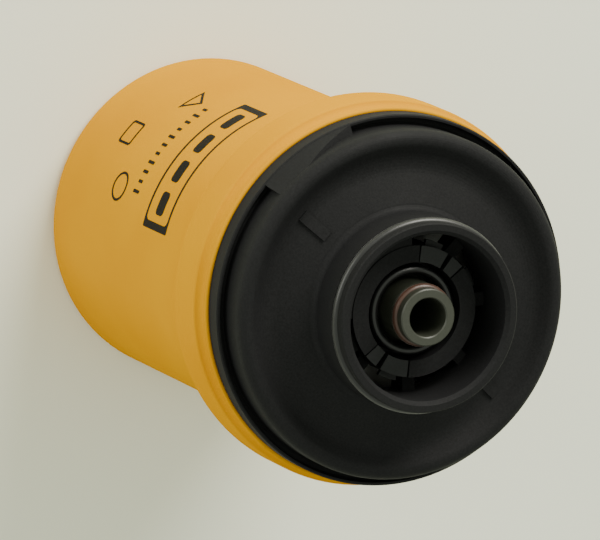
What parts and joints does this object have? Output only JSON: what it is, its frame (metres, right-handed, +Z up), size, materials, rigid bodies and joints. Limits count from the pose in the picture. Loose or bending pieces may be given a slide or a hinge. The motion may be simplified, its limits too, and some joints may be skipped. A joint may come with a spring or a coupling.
{
  "type": "spin-on fuel filter",
  "caption": "Round fuel filter: painted steel can with a rolled lip, moulded cap with a sealed collar and central outlet tube, and a pleated element held inside.",
  "frame": {"origin": "centre of the flat foot that the can stands on", "axes": "+Z up the can's axis towards the cap and the outlet tube; +X and -X through the cap's two ramps"},
  "size_m": [0.0988, 0.0988, 0.146],
  "materials": {
    "can": "satin",
    "top_cap": "fine grained",
    "can_seal": "matt",
    "collar_o_ring": "satin",
    "latch_ring": "matt",
    "outlet_spigot": "satin",
    "spigot_o_ring": "satin",
    "outlet_cup": "polished",
    "element_grommet": "matt",
    "upper_end_disc": "tin plated",
    "pleated_media": "matt",
    "centre_tube": "tin plated",
    "lower_end_disc": "tin plated",
    "element_spring": "drawn wire"
  },
  "bodies": {
    "root": {"can": "can", "top_cap": "top_cap", "can_seal": "can_seal", "collar_o_ring": "collar_o_ring", "latch_ring": "latch_ring", "outlet_spigot": "outlet_spigot", "spigot_o_ring": "spigot_o_ring", "outlet_cup": "outlet_cup", "element_grommet": "element_grommet", "upper_end_disc": "upper_end_disc", "pleated_media": "pleated_media", "centre_tube": "centre_tube", "lower_end_disc": "lower_end_disc", "element_spring": "element_spring"}
  },
  "joints": []
}
